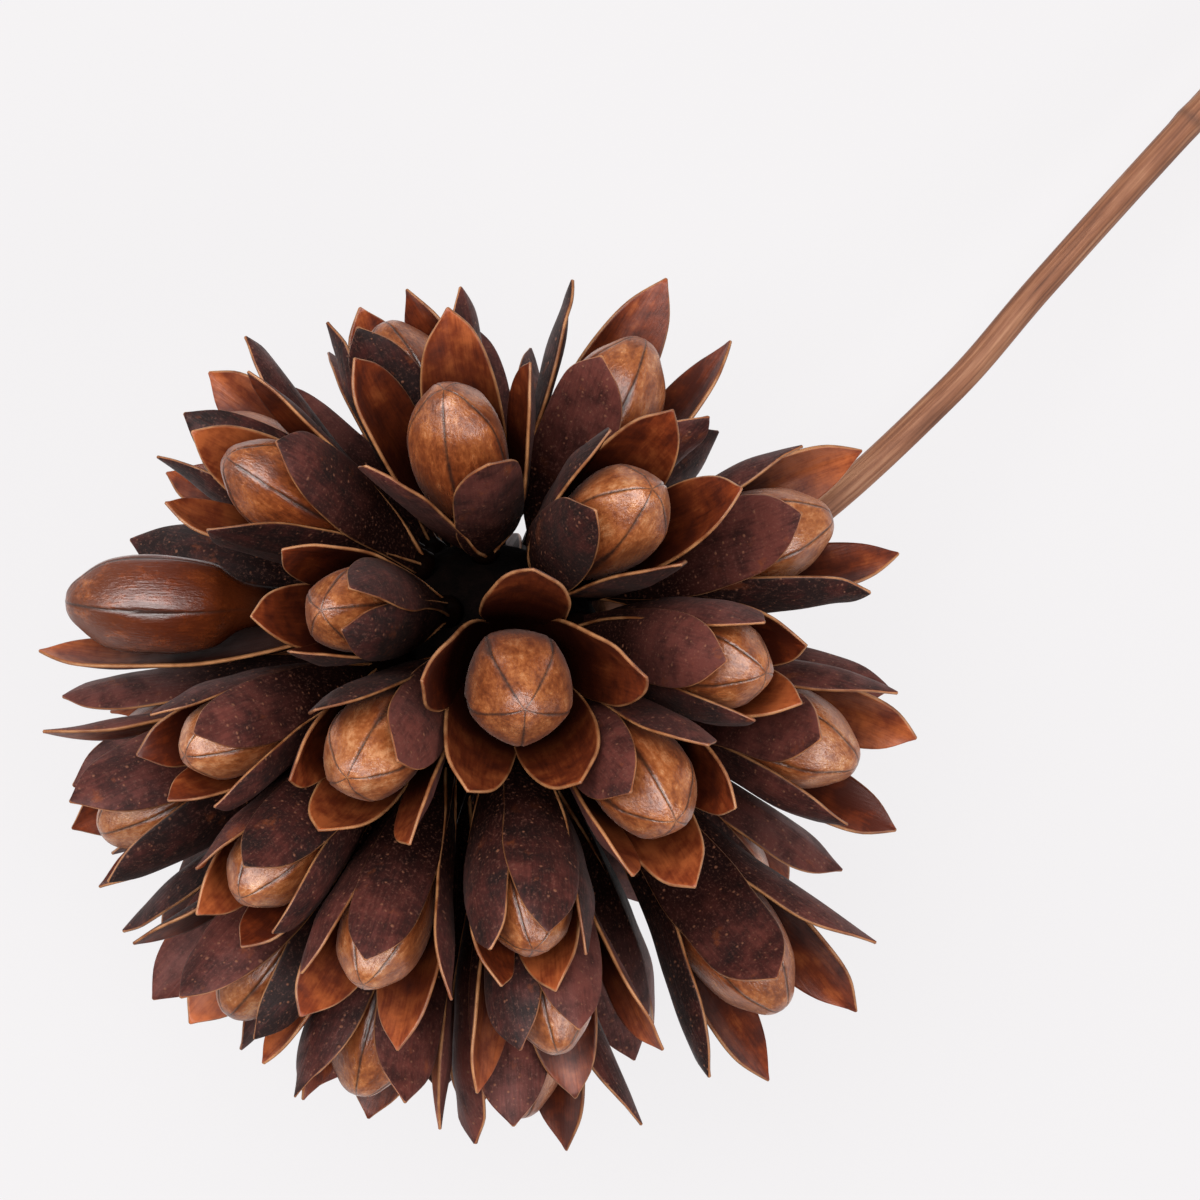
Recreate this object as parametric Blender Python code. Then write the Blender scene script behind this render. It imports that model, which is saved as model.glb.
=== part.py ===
"""A dried round seed head lying on a table with its cut stem.

Some forty-two five-seamed seed capsules, each in a cup of five pointed woody bracts, stand out all round a
small woody receptacle. Metres, +Z up. The origin is on the table, straight below the middle of the head.
+X runs from the head along its stem.
"""

import math

import bmesh
import bpy
import numpy as np
from mathutils import Matrix, Vector

# Driving dimensions, in metres
MM = 0.001
TIP_RADIUS = 49.0 * MM  # capsule tips stand on a sphere of this radius
HEAD_HEIGHT = 49.0 * MM  # middle of the head above the table
CAPSULE_LENGTH = 25.0 * MM
CAPSULE_RADIUS = 6.2 * MM
BRACT_WIDTH = 9.7 * MM
BRACT_THICKNESS = 0.7 * MM
FOOT_RADIUS = 2.4 * MM
FOOT_TAPER = 0.17  # most that a foot's radius is over its distance from the heart
RECEPTACLE_RADIUS = 15.5 * MM
STEM_RADIUS = 2.0 * MM
CLEARANCE = 0.3 * MM  # between pieces that touch
RESTING_DEPTH = 1.6 * MM  # the lowest pod is worn flat by this much

# The photograph looks straight down. Its pixels give places in the plane through the middle of the head.
PIXEL = 0.125 * MM
VIEW_DISTANCE = 500.0 * MM
FRAME_PIXELS = 1200
MIDDLE_PIXEL = (470, 719)
HEART_PIXEL = (500, 612)  # where the axes of all the pods meet
VIEW_TURN = math.radians(43)  # the stem's far end lies this far above the picture's right
HIDDEN = None
LOST = "lost"
SEEN_PODS = (  # the star at each capsule's tip in view, then the tips of its bracts, in order round it
    ((525, 710), ((594, 813), (642, 676), (539, 571), (421, 691), (449, 807))),
    ((321, 610), ((353, 570), (284, 540), (241, 625), (295, 665), (355, 633))),
    ((347, 778), ((395, 749), (318, 709), (285, 773), (326, 840), (407, 841))),
    ((676, 821), ((625, 795), (636, 875), (704, 883), (737, 809), (712, 745))),
    ((652, 489), ((686, 560), (741, 494), (682, 419), (602, 434), (592, 508))),
    ((444, 389), ((494, 460), (528, 361), (441, 309), (345, 362), (360, 468))),
    ((226, 457), ((285, 431), HIDDEN, (183, 425), (157, 510), (210, 535))),
    ((65, 601), (LOST, LOST, LOST, (38, 655), LOST)),
    ((383, 322), (HIDDEN, (411, 307), (359, 287), (346, 335), HIDDEN)),
    ((200, 425), (HIDDEN, (209, 367), HIDDEN, (150, 444), HIDDEN)),
    ((645, 339), ((701, 421), (731, 338), (663, 278), (580, 283), (611, 360))),
    ((833, 517), ((866, 586), (908, 555), (863, 453), (804, 445), (799, 524))),
    ((766, 673), ((740, 730), (799, 708), (813, 646), (764, 620), (718, 660))),
    ((858, 765), ((848, 827), (897, 822), (920, 730), HIDDEN, (816, 730))),
    ((783, 1010), ((711, 1075), (769, 1086), (859, 1014), (866, 945), (770, 983))),
    ((533, 950), ((502, 948), (506, 988), (554, 990), (587, 953), (554, 930))),
    ((363, 985), ((364, 957), (298, 965), (302, 1025), (401, 1057), (457, 1004))),
    ((240, 898), ((248, 868), (195, 871), (204, 910), (245, 958), (286, 934))),
    ((185, 756), ((198, 741), (152, 708), (135, 750), (171, 800), HIDDEN)),
    ((100, 833), ((69, 802), HIDDEN, (71, 825), (104, 868), (112, 869))),
    ((558, 1053), ((518, 1045), HIDDEN, (579, 1103), HIDDEN, (578, 1025))),
    ((357, 1096), ((287, 1086), (301, 1099), (367, 1119), HIDDEN, (401, 1103))),
    ((228, 1016), ((187, 1004), HIDDEN, (192, 1029), (270, 1062), (255, 1038))),
    ((520, 1119), ((504, 1117), (484, 1149), HIDDEN, (563, 1152), HIDDEN)),
)
STEM_STEPS = 3
STEM_SIDES = 8
STEM_ROUTE = (  # picture x and y, and millimetres below the middle of the head
    (500, 612, 0), (640, 602, 9), (790, 532, 19), (945, 395, 26), (1045, 281, 30), (1200, 110, 36),
    (1560, -280, 47.05),
)

# The hidden side is filled by a rule
FILL_CANDIDATES = 3000
FILL_SPACING = math.radians(26)
STEM_ROOM = math.radians(17)
HIDDEN_BELOW = -0.05  # height of the highest tip out of view over the head's radius
RELAX_STEPS = 40
RELAX_PUSH = 0.002
SEED = 11

# Capsule profile: depth below the tip over the length, and radius over the widest radius
CAPSULE_PROFILE = ((0.06, 0.47), (0.20, 0.86), (0.42, 1.0), (0.68, 0.84))
NECK_DEPTH = 0.89  # where the capsule narrows to its five-sided foot
SEAMS = 5
SIDES = 2 * SEAMS
FACE_FLATNESS = 0.93  # radius between two seams over the radius at a seam

# Stations of a bract from root to tip. Each gives its depth below the capsule's tip and what opening
# adds to it, its distance from the axis when closed and what opening adds to that, in millimetres, then
# its width over the widest, and how far its edges turn in, again in millimetres.
BRACT_STATIONS = (
    (36.0, 0.0, 0.9, 0.0, 0.14, 0.0),
    (17.5, 0.0, 6.3, 0.6, 0.72, 0.9),
    (6.5, 0.8, 7.3, 4.5, 0.88, 1.4),
    (-2.5, 3.2, 6.0, 9.0, 0.0, 0.0),
)
ROOT_DEPTH = 1.2 * MM  # least depth of foot left below a bract's root
STRETCH_ROOT = 27.0  # a bract stretches from this depth, in millimetres
OPENING = (0.15, 1.0)
TURN = math.radians(3)
STRETCH = (0.95, 1.07)
BEND = 1.2
CLOSED = (0.0, 0.0, 1.0, 0.0)  # a bract's opening, turn, stretch and bend when it is shut

# Reading a bract's place from its tip in the photograph weighs these against each other
READ_ANGLES = np.radians(np.arange(0, 360, 3))
READ_OPENINGS = np.arange(0.0, 1.75, 0.05)
READ_STRETCHES = np.arange(0.88, 1.161, 0.04)
READ_TURNS = np.radians(np.arange(-54, 55, 3))
PIXELS_OFF = 7.0
ANGLE_OFF = math.radians(9)
OPENING_OFF = 0.8
STRETCH_OFF = 0.09
SIZE_STEPS = (1.06, 1.0, 0.95, 0.9, 0.85, 0.8, 0.75)
OPENING_STEP = 0.04  # a bract without room closes by this much, and straightens by as large a share
STRAIGHTEN = 0.93
UPRIGHT = 0.95  # height of a pod's axis past which its first seam faces down the picture
HALF_WAY_GAP = 0.55 * CLEARANCE  # least gap from a pod to the half-way plane to another
FREE_GAP = 1.1 * CLEARANCE  # least gap from a pod to the edge of the room another leaves free
STEM_GAP = 2 * CLEARANCE  # least gap from a pod to the stem
STEM_END_GAP = 0.6 * MM  # from the receptacle to the middle of the stem's slanting end


def clear_scene():
    for obj in list(bpy.data.objects):
        bpy.data.objects.remove(obj, do_unlink=True)


def material(name, colour, roughness):
    made = bpy.data.materials.new(name)
    made.use_nodes = True
    shader = made.node_tree.nodes["Principled BSDF"]
    shader.inputs["Base Color"].default_value = (*colour, 1.0)
    shader.inputs["Roughness"].default_value = roughness
    shader.inputs["Metallic"].default_value = 0.0
    return made


def to_world(right, up, toward):
    """A place given from the middle of the head along the picture's axes."""
    cos, sin = math.cos(VIEW_TURN), math.sin(VIEW_TURN)
    return np.array([right * cos + up * sin, up * cos - right * sin, toward + HEAD_HEIGHT])


def at_pixel(x, y, toward):
    """The place seen at a pixel, at a height above the middle of the head."""
    near, centre = (VIEW_DISTANCE - toward) / VIEW_DISTANCE, FRAME_PIXELS / 2
    right = centre + (x - centre) * near - MIDDLE_PIXEL[0]
    down = centre + (y - centre) * near - MIDDLE_PIXEL[1]
    return to_world(right * PIXEL, -down * PIXEL, toward)


MIDDLE = to_world(0, 0, 0)
HEART = at_pixel(*HEART_PIXEL, 0.0)
RECEPTACLE_CENTRE = HEART + 0.5 * (MIDDLE - HEART)


def unit(vector):
    return vector / np.linalg.norm(vector)


def tip_at_pixel(x, y):
    """Where the line of sight through a pixel meets the sphere of capsule tips, or passes beside it."""
    horizon = TIP_RADIUS**2 / VIEW_DISTANCE
    for toward in np.linspace(TIP_RADIUS, horizon, 400):
        place = at_pixel(x, y, toward)
        if np.linalg.norm(place - MIDDLE) <= TIP_RADIUS:
            return place
    return at_pixel(x, y, horizon)


def stem_curve(steps):
    """Points along a smooth curve through the stem's route."""
    knots = [at_pixel(x, y, -drop * MM) for x, y, drop in STEM_ROUTE]
    padded = [2 * knots[0] - knots[1], *knots, 2 * knots[-1] - knots[-2]]
    points = []
    for before, start, end, after in zip(padded, padded[1:], padded[2:], padded[3:]):
        for step in range(steps):
            t = step / steps
            points.append(0.5 * (
                2 * start + (end - before) * t
                + (2 * before - 5 * start + 4 * end - after) * t**2
                + (3 * start - before - 3 * end + after) * t**3
            ))
    return np.array([*points, knots[-1]])


def hidden_tips():
    """Tips of the capsules that fill the hidden side, round the one that the head rests on."""
    seen = [unit(tip_at_pixel(*star) - MIDDLE) for star, _ in SEEN_PODS]
    fixed = [*seen, np.array([0.0, 0.0, -1.0])]
    line = stem_curve(12)
    leaving = unit(line[np.argmin(abs(np.linalg.norm(line - MIDDLE, axis=1) - TIP_RADIUS))] - MIDDLE)
    index = np.arange(FILL_CANDIDATES) + 0.5
    height = 1 - 2 * index / FILL_CANDIDATES
    turn = math.pi * (1 + math.sqrt(5)) * index
    ring = np.sqrt(1 - height**2)
    candidates = np.stack([ring * np.cos(turn), ring * np.sin(turn), height], axis=1)
    candidates = candidates[np.arccos(np.clip(candidates @ leaving, -1, 1)) > STEM_ROOM]
    candidates = candidates[candidates[:, 2] < HIDDEN_BELOW]
    free = []
    while True:
        nearest = np.arccos(np.clip(candidates @ np.array(fixed + free).T, -1, 1)).min(axis=1)
        if nearest.max() < FILL_SPACING:
            break
        free.append(candidates[nearest.argmax()])
    for _ in range(RELAX_STEPS):
        for i, place in enumerate(free):
            others = np.array([*fixed, leaving, *free[:i], *free[i + 1:]])
            away = place - others
            gap = np.linalg.norm(away, axis=1, keepdims=True)
            push = (away / gap**4).sum(axis=0)
            push -= push @ place * place
            moved = unit(place + RELAX_PUSH * push)
            free[i] = moved if moved[2] < HIDDEN_BELOW else place
    return [MIDDLE + TIP_RADIUS * d for d in free]


def pixels_of(places):
    """Where places show in the photograph."""
    x, y, toward = np.moveaxis(places - MIDDLE, -1, 0)
    cos, sin = math.cos(VIEW_TURN), math.sin(VIEW_TURN)
    near, centre = (VIEW_DISTANCE - toward) / VIEW_DISTANCE, FRAME_PIXELS / 2
    right = MIDDLE_PIXEL[0] + (x * cos - y * sin) / PIXEL
    down = MIDDLE_PIXEL[1] - (x * sin + y * cos) / PIXEL
    return np.stack([centre + (right - centre) / near, centre + (down - centre) / near], axis=-1)


class Pod:
    """One pod's place: its axis runs from the heart to its tip, and one seam faces the top of the head."""

    def __init__(self, tip, turn=0.0, extra=0.0):
        self.tip, self.wanted = tip, [HIDDEN] * SEAMS
        self.axis = unit(tip - HEART)
        self.length = np.linalg.norm(tip - HEART) + extra
        toward_top = MIDDLE + np.array([0, 0, TIP_RADIUS]) - tip
        if self.axis[2] > UPRIGHT:
            toward_top = to_world(0, -1, 0) - to_world(0, 0, 0)
        side = unit(toward_top - toward_top @ self.axis * self.axis)
        across = np.cross(self.axis, side)
        self.seam = math.cos(turn) * side + math.sin(turn) * across
        self.across = np.cross(self.axis, self.seam)
        self.size, self.room = 1.0, {}

    def place(self, radius, angle, along):
        out = math.cos(angle) * self.seam + math.sin(angle) * self.across
        return HEART + self.axis * along + out * radius

    def foot_along(self, radius, angle):
        """How far along the axis a line beside it clears the receptacle."""
        start = self.place(radius, angle, 0.0) - RECEPTACLE_CENTRE
        b = start @ self.axis
        reach = RECEPTACLE_RADIUS + CLEARANCE
        return -b + math.sqrt(b * b - start @ start + reach * reach)

    def foot_radius(self):
        return min(FOOT_RADIUS * self.size, FOOT_TAPER * self.foot_along(0, 0))


def read_pod(star, tips):
    """A pod turned as its bract tips show, with the opening, turn and stretch that bring each there."""
    tip = tip_at_pixel(*star)
    pod = Pod(tip)
    depth, sink, near, spread = BRACT_STATIONS[-1][:4]
    angle, opening, stretch = np.meshgrid(READ_ANGLES, READ_OPENINGS, READ_STRETCHES, indexing="ij")
    along = pod.length - stretched(depth + sink * opening, stretch) * MM
    out = np.cos(angle)[..., None] * pod.seam + np.sin(angle)[..., None] * pod.across
    aside = ((near + spread * opening) * MM)[..., None] * out
    shown = pixels_of(HEART + along[..., None] * pod.axis + aside)
    known = [k for k, pixel in enumerate(tips) if pixel not in (HIDDEN, LOST)]
    misses = {}
    for k in known:
        miss = np.linalg.norm(shown - np.array(tips[k]), axis=-1) / PIXELS_OFF
        miss = miss**2 + ((opening - 1) / OPENING_OFF) ** 2 + ((stretch - 1) / STRETCH_OFF) ** 2
        misses[k] = miss.reshape(len(READ_ANGLES), -1)
    totals = []
    for turn in READ_TURNS:
        aside = {k: wrapped(READ_ANGLES - turn - (k + 0.5) * math.tau / SEAMS) / ANGLE_OFF for k in known}
        totals.append(sum((misses[k].min(axis=1) + aside[k] ** 2).min() for k in known))
    turn = READ_TURNS[int(np.argmin(totals))]
    pod = Pod(tip, turn=turn)
    for k, pixel in enumerate(tips):
        if pixel == LOST:
            pod.wanted[k] = LOST
        elif k in known:
            aside = wrapped(READ_ANGLES - turn - (k + 0.5) * math.tau / SEAMS)
            total = misses[k] + (aside[:, None] / ANGLE_OFF) ** 2
            row, column = np.unravel_index(total.argmin(), total.shape)
            pod.wanted[k] = (opening[row].flat[column], aside[row], stretch[row].flat[column])
    return pod


def wrapped(angle):
    return (angle + math.pi) % math.tau - math.pi


def stretched(depth, stretch):
    """A depth below the capsule's tip, in millimetres, on a bract longer or shorter than usual."""
    return STRETCH_ROOT - (STRETCH_ROOT - depth) * stretch


def capsule_points(pod):
    """Tip, ten-sided rings, then the five-sided neck and foot, which ends just clear of the receptacle."""
    rings = []
    for depth, width in CAPSULE_PROFILE:
        along = pod.length - depth * CAPSULE_LENGTH * pod.size
        ring = []
        for k in range(SIDES):
            flat = FACE_FLATNESS if k % 2 else 1.0
            radius = CAPSULE_RADIUS * pod.size * width * flat
            ring.append(pod.place(radius, k * math.tau / SIDES, along))
        rings.append(ring)
    angles = [k * math.tau / SEAMS for k in range(SEAMS)]
    neck_along = pod.length - NECK_DEPTH * CAPSULE_LENGTH * pod.size
    rings.append([pod.place(FOOT_RADIUS * pod.size, angle, neck_along) for angle in angles])
    radius = pod.foot_radius()
    rings.append([pod.place(radius, angle, pod.foot_along(radius, angle)) for angle in angles])
    return pod.place(0, 0, pod.length), rings, pod.place(0, 0, pod.foot_along(0, 0))


def bract_ribs(pod, opening, stretch):
    """Depth, distance from the axis, half width and inward turn of the edges at each station."""
    foot_depth = pod.length - pod.foot_along(0, 0)
    ribs = []
    for depth, sink, near, spread, width, turned in BRACT_STATIONS:
        depth = stretched(depth + sink * opening, stretch) * MM * pod.size
        depth = min(depth, foot_depth - ROOT_DEPTH)
        distance = (near + spread * opening) * MM * pod.size
        ribs.append((depth, distance, width * BRACT_WIDTH / 2 * pod.size, turned * MM * pod.size))
    return ribs


def bract_points(pod, index, opening, turn, stretch, bend):
    """Outer and inner points of one boat-shaped bract, each station across from edge to edge."""
    angle = (index + 0.5) * math.tau / SEAMS + turn
    out = math.cos(angle) * pod.seam + math.sin(angle) * pod.across
    side = np.cross(pod.axis, out)
    ribs = bract_ribs(pod, opening, stretch)
    stations = []
    for i, (depth, distance, width, turned) in enumerate(ribs):
        before = ribs[max(i - 1, 0)]
        after = ribs[min(i + 1, len(ribs) - 1)]
        rise = unit(np.array([after[1] - before[1], before[0] - after[0]]))
        thick = (out * rise[1] - pod.axis * rise[0]) * BRACT_THICKNESS / 2
        lean = bend * MM * (i / (len(ribs) - 1)) ** 2
        middle = HEART + pod.axis * (pod.length - depth) + out * distance + side * lean
        columns = (0,) if width == 0 else (-1, 0, 1)
        station = [middle + side * c * width - out * abs(c) * turned for c in columns]
        stations.append([(p + thick, p - thick) for p in station])
    return stations


def corners(stations):
    return np.array([p for station in stations for pair in station for p in pair])


def mesh_object(name, points, faces, paint):
    mesh = bpy.data.meshes.new(name)
    mesh.from_pydata([tuple(p) for p in points], [], faces)
    mesh.materials.append(paint)
    made = bmesh.new()
    made.from_mesh(mesh)
    bmesh.ops.triangulate(made, faces=made.faces)
    bmesh.ops.recalc_face_normals(made, faces=made.faces)
    made.to_mesh(mesh)
    made.free()
    obj = bpy.data.objects.new(name, mesh)
    bpy.context.scene.collection.objects.link(obj)
    return obj


def ring_faces(first, second, count):
    return [
        (first + k, first + (k + 1) % count, second + (k + 1) % count, second + k)
        for k in range(count)
    ]


def narrowing_faces(first, second, count):
    """Faces from a ring to one of half as many points, which meet every second point."""
    faces = []
    for k in range(count // 2):
        low, next_low = second + k, second + (k + 1) % (count // 2)
        corner, middle, next_corner = (first + (2 * k + step) % count for step in range(3))
        faces += [(corner, middle, low), (middle, next_low, low), (middle, next_corner, next_low)]
    return faces


def capsule_object(name, pod, paint):
    tip, rings, bottom = capsule_points(pod)
    points = [tip, *(p for ring in rings for p in ring), bottom]
    faces = [(0, 1 + (k + 1) % SIDES, 1 + k) for k in range(SIDES)]
    first = 1
    for _ in CAPSULE_PROFILE[1:]:
        faces += ring_faces(first, first + SIDES, SIDES)
        first += SIDES
    neck = first + SIDES
    foot = neck + SEAMS
    faces += narrowing_faces(first, neck, SIDES)
    faces += ring_faces(neck, foot, SEAMS)
    faces += [(foot + k, foot + (k + 1) % SEAMS, foot + SEAMS) for k in range(SEAMS)]
    return mesh_object(name, points, faces, paint)


def bract_object(name, stations, paint):
    """A closed thin boat. Both faces are split into triangles alike."""
    points, index = [], []
    for station in stations:
        row = []
        for outer, inner in station:
            row.append((len(points), len(points) + 1))
            points += [outer, inner]
        index.append(row)
    faces = []
    for low, high in zip(index, index[1:]):
        if len(high) == 1:
            pairs = [(low[0], low[1], high[0]), (low[1], low[2], high[0])]
        else:
            pairs = [
                (low[0], low[1], high[0]), (low[1], high[1], high[0]),
                (low[1], low[2], high[2]), (low[1], high[2], high[1]),
            ]
        for a, b, c in pairs:
            faces += [(a[0], b[0], c[0]), (a[1], c[1], b[1])]
        for edge in (0, -1):
            faces.append((low[edge][0], high[edge][0], high[edge][1], low[edge][1]))
    root = index[0]
    faces += [(root[0][0], root[0][1], root[1][1], root[1][0]),
              (root[1][0], root[1][1], root[2][1], root[2][0])]
    return mesh_object(name, points, faces, paint)


def join(obj, others):
    """One Boolean union of a body with a collection of others, applied."""
    group = bpy.data.collections.new("parts of " + obj.name)
    bpy.context.scene.collection.children.link(group)
    for other in others:
        group.objects.link(other)
    union = obj.modifiers.new("union", "BOOLEAN")
    union.operation = "UNION"
    union.operand_type = "COLLECTION"
    union.solver = "EXACT"
    union.collection = group
    apply_modifiers(obj)
    for other in others:
        bpy.data.objects.remove(other, do_unlink=True)
    bpy.data.collections.remove(group)


def apply_modifiers(obj):
    seen = obj.evaluated_get(bpy.context.evaluated_depsgraph_get())
    mesh = bpy.data.meshes.new_from_object(seen)
    obj.modifiers.clear()
    obj.data = mesh


def rest_on_table(obj):
    """Wear flat whatever reaches below the table's surface."""
    if min((obj.matrix_world @ Vector(corner)).z for corner in obj.bound_box) >= 0:
        return
    bpy.ops.mesh.primitive_cube_add(size=1.0, location=(0, 0, -0.05))
    below = bpy.context.object
    below.data.transform(Matrix.Diagonal((0.4, 0.4, 0.1, 1.0)))
    cut = obj.modifiers.new("table", "BOOLEAN")
    cut.operation = "DIFFERENCE"
    cut.solver = "EXACT"
    cut.object = below
    apply_modifiers(obj)
    bpy.data.objects.remove(below, do_unlink=True)


def between(pod, other):
    """Directions across and along the half-way plane between two pods, from the heart."""
    return unit(pod.axis - other.axis), unit(pod.axis + other.axis)


def inside_cell(points, pod, pods, line):
    """Whether points stay on this pod's side of a plane to each other pod, and clear of the stem.

    The plane is the half-way one, turned by the angle that the other pod is known to leave free.
    """
    points = points - HEART
    for other in pods:
        if other is not pod:
            across, along = between(pod, other)
            free = other.room.get(pod, 0.0)
            gap = (points @ (across * math.cos(free) + along * math.sin(free))).min()
            if gap < (FREE_GAP if free else HALF_WAY_GAP):
                return False
    gaps = np.linalg.norm(points[:, None] + HEART - line[None], axis=2)
    return gaps.min() > STEM_RADIUS + STEM_GAP


def note_room(pod, pods):
    """Keeps the angle at the heart that a pod leaves free toward each other one."""
    _, rings, _ = capsule_points(pod)
    points = [np.array([p for ring in rings for p in ring])]
    points += [corners(bract_points(pod, i, *bract)) for i, bract in enumerate(pod.bracts) if bract]
    points = np.concatenate(points) - HEART
    for other in pods:
        if other is not pod:
            across, along = between(pod, other)
            pod.room[other] = np.arctan2(points @ across, points @ along).min()


def fit_size(pod, pods, line):
    """A pod grows as large as its neighbours leave room for."""
    for size in SIZE_STEPS:
        pod.size = size
        _, rings, _ = capsule_points(pod)
        shape = [np.array([p for ring in rings for p in ring])]
        shape += [corners(bract_points(pod, i, *CLOSED)) for i in range(SEAMS)]
        if inside_cell(np.concatenate(shape), pod, pods, line):
            return


def open_bract(pod, index, pods, line):
    """Opening, turn, stretch and bend of a bract in the room that it has. A lost one has none."""
    opening, turn, stretch, bend = pod.drawn[index]
    if pod.wanted[index] == LOST:
        return None
    if pod.wanted[index] is not HIDDEN:
        opening, turn, stretch = pod.wanted[index]
    while opening > 0.0:
        bract = (opening, turn, stretch, bend)
        if inside_cell(corners(bract_points(pod, index, *bract)), pod, pods, line):
            return bract
        opening -= OPENING_STEP
        bend *= STRAIGHTEN
        turn *= STRAIGHTEN
    return CLOSED


def draw_bracts(rng):
    """Opening, turn, stretch and bend of five bracts that aren't seen."""
    limits = (OPENING, (-TURN, TURN), STRETCH, (-BEND, BEND))
    return [[rng.uniform(*limit) for limit in limits] for _ in range(SEAMS)]


def layout(line):
    """Every pod with its bracts. Those in view then open further, into what room is left."""
    rng = np.random.default_rng(SEED)
    pods = [read_pod(*seen) for seen in SEEN_PODS]
    pods.append(Pod(MIDDLE - np.array([0, 0, TIP_RADIUS]), extra=RESTING_DEPTH))
    pods += [Pod(tip, turn=rng.uniform(0, math.tau / SEAMS)) for tip in hidden_tips()]
    for pod in pods:
        fit_size(pod, pods, line)
        pod.drawn = draw_bracts(rng)
    for pod in pods:
        pod.bracts = [open_bract(pod, i, pods, line) for i in range(SEAMS)]
    for pod in pods:
        note_room(pod, pods)
    for pod in pods[:len(SEEN_PODS)]:
        if pod is pods[0]:
            fit_size(pod, pods, line)
        pod.bracts = [open_bract(pod, i, pods, line) for i in range(SEAMS)]
        note_room(pod, pods)
    return pods


def pod_object(name, pod, paint):
    obj = capsule_object(name, pod, paint)
    shapes = [bract_points(pod, i, *bract) for i, bract in enumerate(pod.bracts) if bract]
    join(obj, [bract_object(name + " bract", shape, paint) for shape in shapes])
    rest_on_table(obj)
    return obj


def receptacle_object(paint):
    bpy.ops.mesh.primitive_ico_sphere_add(
        subdivisions=2, radius=RECEPTACLE_RADIUS, location=RECEPTACLE_CENTRE
    )
    obj = bpy.context.object
    obj.name = "receptacle"
    obj.data.materials.append(paint)
    return obj


def stem_object(line, paint):
    """A tube along the stem's curve, from just clear of the receptacle to its cut end."""
    reach = RECEPTACLE_RADIUS + CLEARANCE + STEM_END_GAP
    line = [p for p in line if np.linalg.norm(p - RECEPTACLE_CENTRE) > reach]
    points, faces, count = [], [], STEM_SIDES
    for i, place in enumerate(line):
        along = unit(line[min(i + 1, len(line) - 1)] - line[max(i - 1, 0)])
        side = unit(np.cross(along, [0, 0, 1]))
        up = np.cross(side, along)
        for k in range(count):
            angle = k * math.tau / count
            points.append(place + STEM_RADIUS * (math.cos(angle) * side + math.sin(angle) * up))
        if i:
            faces += ring_faces((i - 1) * count, i * count, count)
    faces.append(tuple(range(count)))
    faces.append(tuple(range((len(line) - 1) * count, len(line) * count)))
    obj = mesh_object("stem", points, faces, paint)
    rest_on_table(obj)
    return obj


def main():
    clear_scene()
    line = stem_curve(STEM_STEPS)
    pod_paint = material("pod", (0.26, 0.11, 0.045), 0.55)
    wood = material("stem bark", (0.25, 0.11, 0.06), 0.7)
    core = material("receptacle wood", (0.06, 0.025, 0.015), 0.8)
    receptacle_object(core)
    stem_object(line, wood)
    for number, pod in enumerate(layout(line), 1):
        pod_object(f"pod_{number:02d}", pod, pod_paint)


main()
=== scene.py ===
"""The looks of a dried round seed head on its cut stem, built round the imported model.

The first half repeats the model's own layout, so that every capsule and bract lies where its
solid does. The second half gives each of them its fine surface, its colours and its light.
Metres, +Z up.
"""

import math

import bpy
import numpy as np
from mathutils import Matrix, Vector


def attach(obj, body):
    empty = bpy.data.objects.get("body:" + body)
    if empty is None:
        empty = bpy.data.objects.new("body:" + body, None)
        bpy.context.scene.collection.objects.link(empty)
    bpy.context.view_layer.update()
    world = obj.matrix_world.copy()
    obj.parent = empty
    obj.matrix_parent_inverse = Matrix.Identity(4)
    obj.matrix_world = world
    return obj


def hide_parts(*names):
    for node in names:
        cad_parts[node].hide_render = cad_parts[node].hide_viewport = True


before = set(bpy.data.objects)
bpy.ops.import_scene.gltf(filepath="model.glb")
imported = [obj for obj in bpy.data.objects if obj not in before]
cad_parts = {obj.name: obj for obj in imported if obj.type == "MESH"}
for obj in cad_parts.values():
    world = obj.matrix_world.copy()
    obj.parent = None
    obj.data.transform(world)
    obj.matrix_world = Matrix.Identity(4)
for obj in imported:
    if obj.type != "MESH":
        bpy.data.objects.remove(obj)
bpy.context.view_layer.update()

# The model's driving dimensions, in metres
MM = 0.001
TIP_RADIUS = 49.0 * MM
HEAD_HEIGHT = 49.0 * MM
CAPSULE_LENGTH = 25.0 * MM
CAPSULE_RADIUS = 6.2 * MM
BRACT_WIDTH = 9.7 * MM
BRACT_THICKNESS = 0.7 * MM
FOOT_RADIUS = 2.4 * MM
FOOT_TAPER = 0.17  # most that a foot's radius is over its distance from the heart
RECEPTACLE_RADIUS = 15.5 * MM
STEM_RADIUS = 2.0 * MM
CLEARANCE = 0.3 * MM
RESTING_DEPTH = 1.6 * MM

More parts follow.
